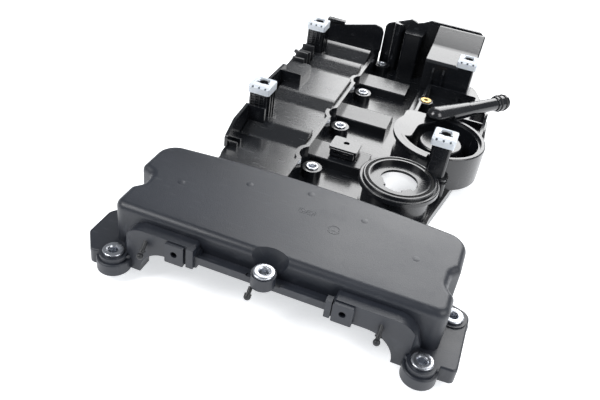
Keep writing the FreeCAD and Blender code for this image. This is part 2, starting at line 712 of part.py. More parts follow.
def filler_neck():
    """Oil filler neck: skirt, stepped flange, seal groove and bayonet mouth."""
    x, y = NECK
    floor = NECK_TOP - NECK_RECESS
    skirt = pipe(x, y, BASE_DECK, floor - 1, NECK_SKIRT_R, NECK_SKIRT_R - WALL)
    foot = pipe(x, y, BASE_DECK, BASE_DECK + 2, NECK_SKIRT_R + 2, NECK_SKIRT_R - WALL)
    flange = round_top(rod(x, y, floor - 2.5, NECK_TOP - 2.5, NECK_FLANGE_R), NECK_TOP - 2.5, 1.2)
    ring = round_top(rod(x, y, NECK_TOP - 4, NECK_TOP, NECK_RING_R), NECK_TOP, 1.0)
    body = fuse([skirt, foot, flange, ring])
    groove = pipe(x, y, NECK_TOP - 3, NECK_TOP + 1, NECK_SEAL_R + 1.5, NECK_SEAL_R - 1.5)
    recess = rod(x, y, floor, NECK_TOP + 1, NECK_RECESS_R)
    mouth = rod(x, y, floor - 5, floor + 1, NECK_BORE_R)
    oil_way = box(x - 20, y + 5, BASE_DECK - 1, x + 15, y + 50, NECK_TOP - 12)
    body = body.cut([groove, recess, mouth, oil_way])
    lugs = []
    for start in (190, 292):
        sector = plate(sector_outline(x, y, NECK_BORE_R + 1, start, 38), floor - 2.5, floor)
        lugs.append(sector.cut(rod(x, y, 0, 80, NECK_BORE_R - 3)))
    return fuse([body] + lugs)


def sector_outline(x, y, r, start, sweep):
    """Pie-shaped plan outline from a centre, used to trim ring segments."""
    points = [(x, y, 0)]
    for i in range(4):
        angle = math.radians(start + sweep * i / 3)
        points.append((x + r * math.cos(angle), y + r * math.sin(angle), 0))
    return points


def neck_seal():
    """Rubber ring in the neck's groove."""
    return pipe(NECK[0], NECK[1], NECK_TOP - 3, NECK_TOP - 0.4, NECK_SEAL_R + 1.4, NECK_SEAL_R - 1.4)


# ---------------------------------------------------------------- separator bowl

def bowl_outline():
    """Plan outline of the right shell around the bowl and the rear chamber."""
    return [
        (154, 244, 22),
        (190, 226, 5),
        (191, 213, 3),
        (215, 213, 3),
        (216, 242, 6),
        (237, 264, 22),
        (237, 363, 13),
        (222, 372, 8),
        (222, DUCT_FRONT - 4 * GAP, 5),
        (152, DUCT_FRONT - 4 * GAP, 5),
        (152, 300, 10),
    ]


def separator_shell():
    """Right upper shell: round bowl, rear chamber, front land and a socket tower."""
    x, y = BOWL
    outline = bowl_outline()
    skirt = plate(outline, BASE_DECK, RIGHT_DECK)
    skirt_hollow = inset_plate(outline, WALL, BASE_DECK - 1, RIGHT_DECK - WALL)
    drum = rod(x, y, BASE_DECK, BOWL_TOP, BOWL_R)
    drum = round_top(drum, BOWL_TOP, 1.5)
    room = rod(x, y, BOWL_FLOOR, BOWL_TOP + 5, BOWL_R - BOWL_WALL)
    under = rod(x, y, BASE_DECK - 1, BOWL_FLOOR - WALL, BOWL_R - WALL)
    step = rod(x, y, BOWL_TOP - 3, BOWL_TOP + 5, BOWL_R - BOWL_WALL + 2.5)
    chamber_outline = [(160, 318, 5), (234, 300, 8), (234, 360, 8), (219, 368, 6), (219, 394, 6), (160, 394, 5)]
    chamber = plate(chamber_outline, RIGHT_DECK - 1, CHAMBER_TOP)
    chamber_room = inset_plate(chamber_outline, WALL, RIGHT_DECK, CHAMBER_TOP + 2)
    chamber = chamber.cut(chamber_room)
    chamber_ribs = [box(162, 344, RIGHT_DECK - 1, 232, 346, CHAMBER_TOP - 6),
                    box(196, 316, RIGHT_DECK - 1, 198, 392, CHAMBER_TOP - 6)]
    cx, cy = CLIPS["front_right"]
    post = tower(cx - 7.5, cy - 9.5, 16.5, 21, RIGHT_DECK - 1, False)
    land = pipe(x, y, BOWL_TOP - 4, BOWL_TOP, BOWL_R + 5, BOWL_R - 1)
    land_trim = plate([(x, y, 0), (x - 70, y + 30, 0), (x - 70, y - 60, 0), (x - 10, y - 70, 0)], 0, 90)
    land = land.common(land_trim)
    shelf = plate([(153, 258, 8), (160, 246, 8), (170, 252, 4), (172, 278, 14), (190, 300, 4), (186, 306, 3),
                   (153, 306, 8)], BOWL_TOP - 3, BOWL_TOP)
    shelf = round_top(shelf, BOWL_TOP, 1.0)
    shelf_foot = plate([(153, 292, 3), (164, 292, 3), (164, 306, 3), (153, 306, 3)], RIGHT_DECK - 1, BOWL_TOP - 2)
    run = SPIGOT_END - SPIGOT_START
    collar = Part.makeCone(SPIGOT_R + WALL, SPIGOT_R + 1, 44, SPIGOT_START, run)
    collar = collar.fuse(Part.makeSphere(SPIGOT_R + WALL, SPIGOT_START))
    body = fuse([skirt.cut(skirt_hollow), drum, chamber, land, collar] + chamber_ribs)
    body = body.cut([room.cut(post), under, step.cut(post)])
    seat = pipe(x, y, BOWL_FLOOR - 1, REG_SEAT_TOP, REG_SEAT_R, REG_SEAT_R - 2.5)
    body = fuse([body, seat, post, shelf, shelf_foot])
    through = rod(x, y, BASE_DECK - 1, BOWL_FLOOR + 3, REG_SEAT_R - 2.5)
    oil_way = box(152, 200, BASE_DECK - 1, 191, 252, BOWL_FLOOR - WALL)
    return body.cut([through, spigot_line(SPIGOT_R), insert_room(), oil_way])


def insert_room():
    """Clearance in the right shell around the threaded insert's boss."""
    return rod(INSERT[0], INSERT[1], 0, 80, 8 + GAP)


def spigot_line(radius):
    """A straight cylinder along the outlet spigot."""
    run = SPIGOT_END - SPIGOT_START
    return Part.makeCylinder(radius, run.Length, SPIGOT_START, run)


def outlet_spigot():
    """Outlet spigot with two ring grooves near its end."""
    run = SPIGOT_END - SPIGOT_START
    direction = V(run)
    direction.normalize()
    body = spigot_line(SPIGOT_R)
    head = Part.makeCylinder(SPIGOT_HEAD_R, 16, SPIGOT_END - direction * 16, direction)
    head = head.makeFillet(1.0, [e for e in head.Edges if len(e.Vertexes) == 1])
    body = body.fuse(head)
    for offset in RING_OFFSETS:
        at = SPIGOT_END - direction * offset
        groove = Part.makeCylinder(SPIGOT_HEAD_R + 2, 2.6, at, direction)
        groove = groove.cut(Part.makeCylinder(SPIGOT_HEAD_R - 1.6, 2.6, at, direction))
        body = body.cut(groove)
    bore = Part.makeCylinder(SPIGOT_BORE_R, run.Length + 2, SPIGOT_START + direction * 6, direction)
    return body.cut(bore)


def spigot_rings():
    """Two rubber rings on the spigot's end."""
    run = SPIGOT_END - SPIGOT_START
    direction = V(run)
    direction.normalize()
    solids = []
    for offset in RING_OFFSETS:
        at = SPIGOT_END - direction * (offset - 0.1)
        ring = Part.makeCylinder(SPIGOT_HEAD_R + 0.9, 2.4, at, direction)
        solids.append(ring.cut(Part.makeCylinder(SPIGOT_HEAD_R - 1.6, 2.4, at, direction)))
    return Part.makeCompound(solids)


# ---------------------------------------------------------------- rear shell

def duct_profile(inset):
    """Side view of the raised duct, moved inwards by a wall thickness."""
    return [
        (DUCT_FRONT + inset, BASE_DECK - (1 if inset else 0), 0),
        (DUCT_FRONT + inset, DUCT_TOP_FRONT - inset, 4 - inset),
        (DUCT_FRONT + 34, DUCT_TOP_FRONT + 5 - inset, 20),
        (DUCT_BACK - 8, DUCT_TOP_BACK - inset, 5 - inset),
        (DUCT_BACK - inset, DUCT_TOP_BACK - 2 - inset, 0),
        (DUCT_BACK - inset, BASE_DECK - (1 if inset else 0), 0),
    ]


def rear_shell():
    """Rear upper shell: raised duct, back wall and a socket tower."""
    duct = side_slab(duct_profile(0), DUCT_LEFT, DUCT_RIGHT)
    ends = [e for e in duct.Edges if e.BoundBox.ZMin > DUCT_TOP_FRONT - 5 and e.BoundBox.XLength < 0.01
            and e.BoundBox.XMin > DUCT_RIGHT - 1]
    duct = duct.makeFillet(2.5, ends)
    room = side_slab(duct_profile(WALL), DUCT_LEFT + WALL, DUCT_RIGHT - WALL)
    wall = front_slab([(BAY_LEFT + GAP, BASE_DECK, 0), (BAY_LEFT + GAP, 64, 6), (116, 77, 4), (123, 74, 4),
                       (130, 76, 4), (139, DUCT_TOP_BACK + 1, 6), (DUCT_RIGHT - 8, DUCT_TOP_BACK + 1, 6),
                       (DUCT_RIGHT, DUCT_TOP_BACK - 5, 4), (DUCT_RIGHT, BASE_DECK, 0)],
                      DUCT_BACK - WALL, DUCT_BACK + 1)
    pilaster = rod(102, DUCT_BACK - WALL, BASE_DECK, 70, 7).common(box(90, 440, 0, 120, DUCT_BACK, 90))
    block = plate([(112, 452, 3), (134, 452, 3), (134, DUCT_BACK - 1, 0), (112, DUCT_BACK - 1, 0)], BASE_DECK, 66)
    cx, cy = CLIPS["rear_right"]
    notch = box(cx - 11.5, DUCT_FRONT - 2, CLIP_UNDER, DUCT_RIGHT + 5, cy + 11.6, 100)
    pad = plate([(cx - 9.5, cy - 11, 2), (cx + 9, cy - 11, 2), (cx + 9, cy + 11, 2), (cx - 9.5, cy + 11, 2)],
                CLIP_UNDER - 12, CLIP_UNDER)
    ribs = []
    for x in (160.0, 172.0):
        ribs.append(side_slab([(DUCT_FRONT - 3, 30, 1), (DUCT_FRONT - 3, 50, 1), (DUCT_FRONT + 1, 56, 0),
                               (DUCT_FRONT + 1, 30, 0)], x, x + 2.2))
    body = fuse([duct.cut(room), wall, pilaster, block] + ribs)
    return fuse([body.cut(notch), pad])


# ---------------------------------------------------------------- small parts on the cover

def harness_bracket():
    """Loom bracket that stands on the first beam, with a hole and a folded front lip."""
    y = CENTRE_SLEEVE_Y + BEAM_START + 8
    top = plate([(99, y, 2), (127, y, 2), (127, y + 22, 2), (99, y + 22, 2)], 27, 30)
    legs = [box(100, y + 4, BEAM_TOP + 3.2, 103, y + 20, 28), box(123, y + 4, BEAM_TOP + 3.2, 126, y + 20, 28)]
    lip = box(101, y - 2, 22, 125, y + 1.5, 29)
    hole = rod(113, y + 13, 20, 40, 3.0)
    slot = box(105, y - 4, 24, 121, y + 3, 26.5)
    return fuse([top, lip] + legs).cut([hole, slot])


def threaded_insert():
    """Brass insert pressed into its boss."""
    ring = pipe(INSERT[0], INSERT[1], BASE_DECK - 1, INSERT_TOP + 0.4, INSERT_R, 2.5)
    flange = pipe(INSERT[0], INSERT[1], INSERT_TOP, INSERT_TOP + 1, INSERT_R + 1.6, 2.5)
    return ring.fuse(flange).removeSplitter()


# ---------------------------------------------------------------- pressure regulator

def regulator_ring():
    """Ring in the bowl that carries the edge of the diaphragm."""
    x, y = BOWL
    return pipe(x, y, BOWL_FLOOR, REG_CLAMP_Z, REG_CAP_R - 1.6, REG_CAP_R - 4.6)


def diaphragm():
    """Rolling diaphragm: clamped edge, one convolution and a flat middle."""
    x, y = BOWL
    edge = REG_CAP_R - 1.7
    profile = [
        (REG_PLATE_R - 4, REG_CLAMP_Z, 0),
        (REG_PLATE_R - 4, REG_CLAMP_Z + 0.9, 0),
        (REG_PLATE_R + 1.0, REG_CLAMP_Z + 0.9, 0.3),
        (REG_PLATE_R + 1.8, REG_CLAMP_Z + 3.6, 0.8),
        (edge - 3.6, REG_CLAMP_Z + 3.6, 0.8),
        (edge - 2.8, REG_CLAMP_Z + 0.9, 0.3),
        (edge, REG_CLAMP_Z + 0.9, 0),
        (edge, REG_CLAMP_Z, 0),
        (edge - 3.6, REG_CLAMP_Z, 0.3),
        (edge - 4.2, REG_CLAMP_Z + 2.8, 0.5),
        (REG_PLATE_R + 2.6, REG_CLAMP_Z + 2.8, 0.5),
        (REG_PLATE_R + 1.9, REG_CLAMP_Z, 0.3),
    ]
    wire = rounded_wire(profile, lambda a, b: V(x + a, y, b))
    return Part.Face(wire).revolve(V(x, y, 0), V(0, 0, 1), 360)


def regulator_plate():
    """Moving plate under the diaphragm, with a stem guided in the cap."""
    x, y = BOWL
    disc = rod(x, y, REG_CLAMP_Z - 2, REG_CLAMP_Z, REG_PLATE_R)
    hub = rod(x, y, REG_CLAMP_Z - 0.5, REG_CLAMP_Z + 3, 4)
    stem = rod(x, y, REG_CLAMP_Z, REG_CAP_TOP - 1.5, 2)
    return fuse([disc, hub, stem])


def helix_spring(x, y, z0, z1, mean_r, wire_r, turns):
    """Coil spring with a round wire."""
    height = z1 - z0 - 2 * wire_r
    path = Part.makeHelix(height / turns, height, mean_r)
    start = V(mean_r, 0, 0)
    section = Part.Wire(Part.makeCircle(wire_r, start, V(0, 1, 0)))
    coil = Part.Wire(path).makePipeShell([section], True, True)
    coil.translate(V(x, y, z0 + wire_r))
    return coil


def regulator_spring():
    """Spring that holds the plate off its seat."""
    return helix_spring(BOWL[0], BOWL[1], BOWL_FLOOR + 0.05, REG_CLAMP_Z - 2.05, REG_SEAT_R + 1.6, 0.5, 3)


def regulator_cap():
    """Round cap over the regulator, with a vent, a stem guide and snap tabs."""
    x, y = BOWL
    top = REG_CAP_TOP
    outer = round_top(rod(x, y, BOWL_FLOOR, top, REG_CAP_R), top, 2)
    inner = rod(x, y, BOWL_FLOOR - 1, top - 2, REG_CAP_R - 1.5)
    boss = rod(x, y, REG_CLAMP_Z + 5.5, top + 1.5, 4.2)
    body = fuse([outer.cut(inner), boss])
    cuts = [rod(x, y, BOWL_FLOOR, top - 1, 2 + RUNNING)]
    cuts.append(rod(x + 13, y, top - 5, top + 3, 1.0))
    for i in range(6):
        angle = math.radians(30 + 60 * i)
        cx = x + REG_CAP_R * math.cos(angle)
        cy = y + REG_CAP_R * math.sin(angle)
        cuts.append(rod(cx, cy, BOWL_FLOOR + 2, BOWL_FLOOR + 7, 2.6))
    return body.cut(cuts)


# ---------------------------------------------------------------- drain and bypass valves

def drain_valve():
    """Drain poppet: a disc below the deck, hanging by its snap head."""
    x, y = DRAIN
    disc = rod(x, y, BASE_DECK_UNDER - DRAIN_TRAVEL - 1.9, BASE_DECK_UNDER - DRAIN_TRAVEL - 0.1, 8)
    stem = rod(x, y, BASE_DECK_UNDER - DRAIN_TRAVEL - 1.0, BASE_DECK + 1.0, 2)
    head = Part.makeCone(3.2, 2.2, 2, V(x, y, BASE_DECK + 0.02))
    return fuse([disc, stem, head])


def drain_holes():
    """Ring of oil holes around the drain stem."""
    holes = []
    for i in range(6):
        angle = math.radians(60 * i)
        holes.append(rod(DRAIN[0] + 5.2 * math.cos(angle), DRAIN[1] + 5.2 * math.sin(angle), 0, 20, 1.4))
    return holes


def bypass_disc():
    """Bypass valve disc with its guide stem."""
    x, y = BYPASS
    disc = rod(x, y, BASE_DECK + 0.02, BASE_DECK + 1.6, 8)
    stem = rod(x, y, BASE_DECK + 1, BYPASS_CAGE_TOP - 0.5, 1.5)
    return fuse([disc, stem])


def bypass_spring():
    """Spring that closes the bypass disc."""
    return helix_spring(BYPASS[0], BYPASS[1], BASE_DECK + 1.65, BYPASS_CAGE_TOP - 2.05, 4.5, 0.5, 3)


def bypass_cage():
    """Three-legged cage that guides the disc's stem and holds the spring."""
    x, y = BYPASS
    roof = pipe(x, y, BYPASS_CAGE_TOP - 2, BYPASS_CAGE_TOP, 11, 1.5 + RUNNING)
    foot = pipe(x, y, BASE_DECK, BASE_DECK + 1.5, 11, 8.8)
    legs = []
    for i in range(3):
        angle = 120 * i
        leg = box(8.9, -1.5, BASE_DECK, 11, 1.5, BYPASS_CAGE_TOP - 1)
        leg.rotate(V(0, 0, 0), V(0, 0, 1), angle)
        leg.translate(V(x, y, 0))
        legs.append(leg.common(rod(x, y, 0, 60, 11)))
    return fuse([roof, foot] + legs)


# ---------------------------------------------------------------- separator internals and baffle

def labyrinth():
    """Oil separator insert: a tray with staggered upright vanes."""
    floor = plate([(24, 152, 3), (72, 152, 3), (72, 236, 3), (24, 236, 3)], BASE_DECK, BASE_DECK + 1.5)
    vanes = []
    for i in range(6):
        y = 160.0 + i * 13.0
        x0 = 25 if i % 2 == 0 else 33
        vanes.append(box(x0, y, BASE_DECK + 1, x0 + 38, y + 1.5, LABYRINTH_TOP))
    sides = [box(x, 156, BASE_DECK + 1, x + 1.5, 232, LABYRINTH_TOP) for x in (24.0, 70.5)]
    return fuse([floor] + vanes + sides)


def baffle_screw_places():
    """Screw positions of the splash baffle."""
    return [(x, y) for x in (116.0, 184.0) for y in (270.0, 358.0, 446.0)]


def baffle_bosses():
    """Screw bosses under the deck."""
    return [rod(x, y, BAFFLE_Z, BASE_DECK_UNDER + 1, 4) for x, y in baffle_screw_places()]


def splash_baffle():
    """Flat oil splash baffle under the deck, with drain slots."""
    sheet = plate([(108, 258, 6), (192, 258, 6), (192, 458, 6), (108, 458, 6)], BAFFLE_Z - 1.2, BAFFLE_Z)
    cuts = [rod(x, y, 0, 9, 1.8) for x, y in baffle_screw_places()]
    for i in range(5):
        y = 286.0 + i * 34
        cuts.append(plate([(128, y, 1.9), (172, y, 1.9), (172, y + 4, 1.9), (128, y + 4, 1.9)], 0, 9))
    return sheet.cut(cuts)


def baffle_screws():
    """Six pan-head screws that hold the splash baffle."""
    solids = []
    for x, y in baffle_screw_places():
        head = rod(x, y, BAFFLE_Z - 2.4, BAFFLE_Z - 1.2, 3.4)
        shank = rod(x, y, BAFFLE_Z - 1.3, BASE_DECK_UNDER + 0.5, SCREW_R)
        cross = [box(x - 1.8, y - 0.35, 0, x + 1.8, y + 0.35, BAFFLE_Z - 1.8),
                 box(x - 0.35, y - 1.8, 0, x + 0.35, y + 1.8, BAFFLE_Z - 1.8)]
        solids.append(head.fuse(shank).cut(cross))
    return Part.makeCompound(solids)


def nodes():
    """Every node with the function that makes it."""
    table = {
        "front_housing": front_housing,
        "front_sleeves": front_sleeves,
        "retaining_pegs": retaining_pegs,
        "cover_base": cover_base,
        "perimeter_gasket": perimeter_gasket,
        "centre_sleeves": centre_sleeves,
        "left_shell": left_shell,
        "harness_comb": harness_comb,
        "vent_nozzle": vent_nozzle,
        "filler_neck": filler_neck,
        "neck_seal": neck_seal,
        "separator_shell": separator_shell,
        "outlet_spigot": outlet_spigot,
        "spigot_rings": spigot_rings,
        "rear_shell": rear_shell,
        "harness_bracket": harness_bracket,
        "threaded_insert": threaded_insert,
        "regulator_ring": regulator_ring,
        "diaphragm": diaphragm,
        "regulator_plate": regulator_plate,
        "regulator_spring": regulator_spring,
        "regulator_cap": regulator_cap,
        "drain_valve": drain_valve,
        "bypass_disc": bypass_disc,
        "bypass_spring": bypass_spring,
        "bypass_cage": bypass_cage,
        "labyrinth": labyrinth,
        "splash_baffle": splash_baffle,
        "baffle_screws": baffle_screws,
    }
    for name, (x, y) in CLIPS.items():
        table["snap_socket_" + name] = lambda x=x, y=y: snap_socket(x, y)
    return table


def main():
    """Writes one STEP file per node."""
    os.makedirs("parts", exist_ok=True)
    for name, make in nodes().items():
        shape = make()
        shape.translate(V(0, 0, -FRONT_SEAT))
        print(name, "solids", len(shape.Solids), "valid", shape.isValid(), "volume", round(shape.Volume / 1000, 2))
        shape.exportStep("parts/" + name + ".step")


main()
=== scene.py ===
"""Studio scene of a moulded cylinder head cover with an oil separator.

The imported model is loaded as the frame. Its shells stay and get procedural finishes.
Sleeves, rings, seals and the small moulded details are built here as new pieces.
"""
import json
import logging
import math
from dataclasses import dataclass, field
from enum import Enum

import bmesh
import bpy
from mathutils import Matrix, Vector


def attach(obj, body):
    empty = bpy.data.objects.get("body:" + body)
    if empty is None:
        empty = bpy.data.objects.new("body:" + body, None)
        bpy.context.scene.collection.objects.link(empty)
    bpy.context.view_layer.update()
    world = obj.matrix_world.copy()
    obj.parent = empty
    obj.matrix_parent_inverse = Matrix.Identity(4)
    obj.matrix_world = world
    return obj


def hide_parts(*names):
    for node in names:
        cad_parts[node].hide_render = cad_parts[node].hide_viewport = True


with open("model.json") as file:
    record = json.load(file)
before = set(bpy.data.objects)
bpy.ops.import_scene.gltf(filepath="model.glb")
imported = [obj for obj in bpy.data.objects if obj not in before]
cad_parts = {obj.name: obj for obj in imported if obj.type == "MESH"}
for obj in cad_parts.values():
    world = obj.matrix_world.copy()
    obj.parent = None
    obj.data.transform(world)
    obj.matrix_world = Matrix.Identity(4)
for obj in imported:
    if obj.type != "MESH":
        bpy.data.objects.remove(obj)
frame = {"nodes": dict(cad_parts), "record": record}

MM = 0.001
SEAT_DROP = 8.0
CYLINDER_PITCH = 88.0
WELD_DISTANCE = 0.001
SHARP_DEGREES = 32
RING_SIDES = 16
FLOOR_GLOW = 0.62
AIR_LIGHT = 0.28
log = logging.getLogger("head_cover")
Point = tuple[float, float, float]


class Body(Enum):
    """The bodies that pieces ride on."""

    COVER = "cover"


# ------------------------------------------------------------------ shader maths


class Signal:
    """A socket of a material's nodes that works in Python expressions."""

    def __init__(self, recipe: "Recipe", socket: bpy.types.NodeSocket) -> None:
        """Keeps the recipe that owns the socket, and the socket."""
        self.recipe = recipe
        self.socket = socket

    def _math(self, operation: str, first: object, second: object) -> "Signal":
        """Adds one Math node.

        Args:
            operation: the Math node's operation.
            first: a number or a signal.
            second: a number or a signal.

        Returns:
            The node's result.
        """
        return self.recipe.node("ShaderNodeMath", {"operation": operation}, {0: first, 1: second})

    def __add__(self, other: object) -> "Signal":
        """self + other."""
        return self._math("ADD", self, other)

    def __radd__(self, other: object) -> "Signal":
        """other + self."""
        return self._math("ADD", other, self)

    def __sub__(self, other: object) -> "Signal":
        """self - other."""
        return self._math("SUBTRACT", self, other)

    def __rsub__(self, other: object) -> "Signal":
        """other - self."""
        return self._math("SUBTRACT", other, self)

    def __mul__(self, other: object) -> "Signal":
        """self * other."""
        return self._math("MULTIPLY", self, other)

    def __rmul__(self, other: object) -> "Signal":
        """other * self."""
        return self._math("MULTIPLY", other, self)


class Recipe:
    """One material and the nodes that make it."""

    def __init__(self, name: str) -> None:
        """Makes an empty material with one Principled shader.

        Args:
            name: the material's name.
        """
        self.material = bpy.data.materials.new(name)
        self.material.use_nodes = True
        self.tree = self.material.node_tree
        self.shader = next(n for n in self.tree.nodes if n.type == "BSDF_PRINCIPLED")
        self.place = self.node("ShaderNodeTexCoord", {}, {}, "Object")

    def node(self, kind: str, settings: dict, values: dict, result: object = 0) -> Signal:
        """Adds any node.

        Args:
            kind: the node's type.
            settings: its own settings, set before its sockets.
            values: numbers, colours or signals for its input sockets.
            result: the output socket to return.

        Returns:
            That output as a signal.
        """
        made = self.tree.nodes.new(kind)
        for key, value in settings.items():
            if key == "stops":
                ramp = made.color_ramp
                for element, (position, level) in zip(ramp.elements, value):
                    element.position = position
                    element.color = (level, level, level, 1)
            else:
                setattr(made, key, value)
        for key, value in values.items():
            self.feed(made.inputs[key], value)
        return Signal(self, made.outputs[result])

    def feed(self, socket: bpy.types.NodeSocket, value: object) -> None:
        """Links a signal to a socket, or sets a plain value on it."""
        if isinstance(value, Signal):
            self.tree.links.new(value.socket, socket)
        else:
            socket.default_value = value

    def noise(self, scale: float, detail: float = 3.0, stretch: Point = (1, 1, 1)) -> Signal:
        """Soft noise over the piece.

        Args:
            scale: waves in one metre.
            detail: octaves.
            stretch: scale along each axis.

        Returns:
            The noise, from 0 to 1.
        """
        place = self.place
        if stretch != (1, 1, 1):
            place = self.node("ShaderNodeMapping", {}, {"Vector": self.place, "Scale": stretch})
        values = {"Vector": place, "Scale": scale, "Detail": detail}
        return self.node("ShaderNodeTexNoise", {}, values, "Fac")

    def cells(self, scale: float) -> Signal:
        """Distance to the nearest of many small cells, for a grained surface."""
        return self.node("ShaderNodeTexVoronoi", {}, {"Vector": self.place, "Scale": scale}, "Distance")

    def ramp(self, signal: Signal, low: float, high: float) -> Signal:
        """Maps a signal's range from low to high onto 0 to 1."""
        stops = [(low, 0.0), (high, 1.0)]
        return self.node("ShaderNodeValToRGB", {"stops": stops}, {"Fac": signal}, "Color")

    def blend(self, mask: object, first: Point, second: Point) -> Signal:
        """Mixes two colours by a mask.

        Args:
            mask: 0 for the first colour and 1 for the second.
            first: a colour or a signal.
            second: a colour or a signal.

        Returns:
            The mixed colour.
        """
        colours = [c if isinstance(c, Signal) else (*c, 1) for c in (first, second)]
        return self.node("ShaderNodeMix", {"data_type": "RGBA"}, {0: mask, 6: colours[0], 7: colours[1]}, 2)

    def relief(self, height: Signal, depth: float) -> None:
        """Raises the surface by a height map.

        Args:
            height: the map, from 0 to 1.
            depth: the relief's full depth in metres.
        """
        bump = self.node("ShaderNodeBump", {}, {"Height": height, "Strength": 1.0, "Distance": depth})
        self.feed(self.shader.inputs["Normal"], bump)

    def set(self, **values: object) -> None:
        """Sets the shader's own sockets, with underscores for spaces."""
        for key, value in values.items():
            self.feed(self.shader.inputs[key.replace("_", " ")], value)


# ------------------------------------------------------------------ finishes


@dataclass(frozen=True)
class Moulding:
    """A filled nylon moulding: flow marks, fine grain, scuffs and a little dust."""

    name: str
    colour: Point
    pale: Point
    rough: float
    spread: float
    grain: float
    grain_scale: float
    coat: float = 0.0

    def make(self) -> bpy.types.Material:
        """Builds the material."""
        r = Recipe(self.name)
        flow = r.ramp(r.noise(9.0, 4.0, (1.0, 2.4, 1.0)), 0.35, 0.7)
        mottle = r.noise(240.0, 3.0)
        scuff = r.ramp(r.noise(70.0, 6.0, (1.0, 6.0, 1.0)), 0.60, 0.75)
        dust = r.ramp(r.noise(1300.0, 2.0), 0.68, 0.80)
        tone = r.blend(flow * 0.55 + mottle * 0.25, self.colour, self.pale)
        r.set(Base_Color=r.blend(scuff * 0.10 + dust * 0.10, tone, (0.20, 0.21, 0.23)))
        r.set(Roughness=self.rough + flow * self.spread + scuff * 0.10 + mottle * 0.05)
        r.set(Specular_IOR_Level=0.55, IOR=1.5, Coat_Weight=self.coat, Coat_Roughness=0.12)
        r.relief(r.cells(self.grain_scale) * 0.6 + r.noise(self.grain_scale * 0.4) * 0.4, self.grain)
        return r.material


@dataclass(frozen=True)
class Acetal:
    """White acetal with a waxy surface and handling marks."""

    name: str = "white_acetal"

    def make(self) -> bpy.types.Material:
        """Builds the material."""
        r = Recipe(self.name)
        cloud = r.noise(90.0, 4.0)
        smudge = r.ramp(r.noise(320.0, 5.0), 0.58, 0.78)
        tone = r.blend(cloud, (0.64, 0.69, 0.74), (0.72, 0.76, 0.81))
        r.set(Base_Color=r.blend(smudge * 0.3, tone, (0.46, 0.49, 0.53)))
        r.set(Roughness=0.34 + cloud * 0.14 + smudge * 0.1, Subsurface_Weight=0.08)
        r.set(Subsurface_Radius=(0.002, 0.002, 0.003), Subsurface_Scale=0.5)
        r.relief(r.noise(900.0, 2.0), 0.00003)
        return r.material


@dataclass(frozen=True)
class Metal:
    """A turned metal: tool marks round the axis, plating clouds and dull spots."""

    name: str
    colour: Point
    worn: Point
    rough: float
    lines: float = 2600.0

    def make(self) -> bpy.types.Material:
        """Builds the material."""
        r = Recipe(self.name)
        cloud = r.noise(160.0, 5.0)
        turned = r.noise(self.lines, 2.0, (0.15, 0.15, 1.0))
        spot = r.ramp(r.noise(520.0, 3.0), 0.60, 0.72)
        tone = r.blend(cloud, self.colour, self.worn)
        r.set(Base_Color=r.blend(spot * 0.35, tone, tuple(c * 0.55 for c in self.worn)))
        r.set(Metallic=1.0, Roughness=self.rough + cloud * 0.16 + spot * 0.12)
        r.relief(turned * 0.7 + cloud * 0.3, 0.00004)
        return r.material


@dataclass(frozen=True)
class Elastomer:
    """Black moulded rubber with bloom."""

    name: str = "black_elastomer"

    def make(self) -> bpy.types.Material:
        """Builds the material."""
        r = Recipe(self.name)
        bloom = r.ramp(r.noise(260.0, 5.0), 0.45, 0.75)
        r.set(Base_Color=r.blend(bloom * 0.6, (0.011, 0.011, 0.012), (0.034, 0.035, 0.038)))
        r.set(Roughness=0.58 + bloom * 0.2, Specular_IOR_Level=0.4)
        r.relief(r.cells(1900.0), 0.00004)
        return r.material


@dataclass(frozen=True)
class PaleFloor:
    """A matte white studio floor."""

    name: str = "studio_floor"

    def make(self) -> bpy.types.Material:
        """Builds the material."""
        r = Recipe(self.name)
        r.set(Base_Color=r.blend(r.noise(6.0), (0.90, 0.90, 0.91), (0.93, 0.93, 0.94)), Roughness=0.85)
        r.set(Emission_Color=(0.96, 0.98, 1.0, 1), Emission_Strength=FLOOR_GLOW)
        return r.material


class Finish(Enum):
    """Every finish on the part."""

    HOUSING = Moulding("matte_housing", (0.012, 0.0145, 0.021), (0.019, 0.023, 0.033),
                       0.36, 0.08, 0.00008, 1500.0)
    COVER = Moulding("gloss_cover", (0.006, 0.007, 0.009), (0.011, 0.012, 0.015),
                     0.17, 0.10, 0.00002, 700.0, 0.3)
    SATIN = Moulding("satin_black", (0.008, 0.009, 0.011), (0.015, 0.016, 0.019),
                     0.34, 0.14, 0.00006, 1200.0)
    ACETAL = Acetal()
    STEEL = Metal("plated_steel", (0.62, 0.64, 0.68), (0.46, 0.48, 0.52), 0.20)
    SPRING = Metal("spring_wire", (0.42, 0.43, 0.45), (0.30, 0.31, 0.33), 0.26, 900.0)
    BRASS = Metal("turned_brass", (0.72, 0.52, 0.22), (0.50, 0.34, 0.13), 0.22)
    RUBBER = Elastomer()
    FLOOR = PaleFloor()


class Palette:
    """Makes each finish once and dresses pieces in it."""

    def __init__(self) -> None:
        """Starts with no material made."""
        self.made: dict[Finish, bpy.types.Material] = {}

    def get(self, finish: Finish) -> bpy.types.Material:
        """The material of a finish, made when first asked for."""
        if finish not in self.made:
            self.made[finish] = finish.value.make()
        return self.made[finish]

    def dress(self, thing: bpy.types.Object, finish: Finish) -> None:
        """Puts a finish on an object's material slots."""
        if not thing.material_slots:
            thing.data.materials.append(self.get(finish))
        for place in thing.material_slots:
            place.material = self.get(finish)


PALETTE = Palette()

SLOT_FINISH = {
    "housing": Finish.HOUSING,
    "cover": Finish.COVER,
    "black_plastic": Finish.SATIN,
    "steel": Finish.STEEL,
    "spring_steel": Finish.SPRING,
    "brass": Finish.BRASS,
    "socket_white": Finish.ACETAL,
    "rubber": Finish.RUBBER,
}


# ------------------------------------------------------------------ making pieces


